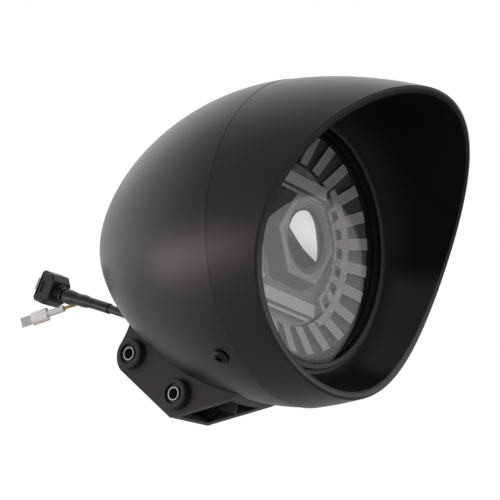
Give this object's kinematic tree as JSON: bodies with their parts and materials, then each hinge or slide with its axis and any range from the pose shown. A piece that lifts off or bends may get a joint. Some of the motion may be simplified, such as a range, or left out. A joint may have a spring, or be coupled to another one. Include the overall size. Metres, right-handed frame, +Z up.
{
  "type": "motorcycle headlight",
  "caption": "Bullet-shaped motorcycle headlight with a slanted hood over a round lamp insert, a rubber-bushed bracket underneath and a short lead with a plug.",
  "frame": {"origin": "on the axis of the rear bracket bolt, on the middle plane", "axes": "+X the way the light shines, +Y the rider's left, +Z up"},
  "size_m": [0.303, 0.19, 0.1982],
  "materials": {
    "shell_black": "satin black coating",
    "bracket_black": "satin black coating",
    "rubber_black": "matte",
    "screw_black": "black oxide",
    "screw_steel": "zinc",
    "sleeve_steel": "bright",
    "trim_black": "gloss",
    "bezel_dark": "semi-gloss",
    "lens_clear": "clear",
    "light_guide": "clear, finely ribbed",
    "projector_glass": "polished",
    "lamp_alloy": "cast",
    "board_white": "matte",
    "led_yellow": "gloss",
    "cable_black": "satin",
    "plug_black": "matte",
    "terminal_tin": "tinned",
    "wire_yellow": "satin",
    "boot_clear": "clear, soft"
  },
  "bodies": {
    "root": {"rear_bucket": "shell_black", "front_hood": "shell_black", "mount_bracket": "bracket_black", "hood_seal": "rubber_black", "lens_seal": "rubber_black", "bracket_grommets": "rubber_black", "cable_grommet": "rubber_black", "hood_screws": "screw_black", "hood_nuts": "screw_black", "ring_screws": "screw_steel", "heat_sink_screws": "screw_steel", "bracket_screws": "screw_steel", "bracket_washers": "screw_steel", "grommet_sleeves": "sleeve_steel", "bezel_ring": "trim_black", "hexagon_frame": "trim_black", "projector_ring": "trim_black", "reflector_bezel": "bezel_dark", "lens_cover": "lens_clear", "light_sticks": "light_guide", "upper_light_bar": "light_guide", "lower_light_bar": "light_guide", "side_light_arcs": "light_guide", "guide_ring": "light_guide", "projector_lens": "projector_glass", "lamp_housing": "lamp_alloy", "heat_sink": "lamp_alloy", "retaining_ring": "lamp_alloy", "projector_barrel": "lamp_alloy", "main_led_board": "board_white", "ring_led_board": "board_white", "main_led": "led_yellow", "main_cable": "cable_black", "cable_sleeve": "cable_black", "splice_sleeve": "cable_black", "plug_boot": "cable_black", "plug_body": "plug_black", "plug_blades": "terminal_tin", "wire_terminal": "terminal_tin", "signal_wire": "wire_yellow", "terminal_boot": "boot_clear"}
  },
  "joints": []
}
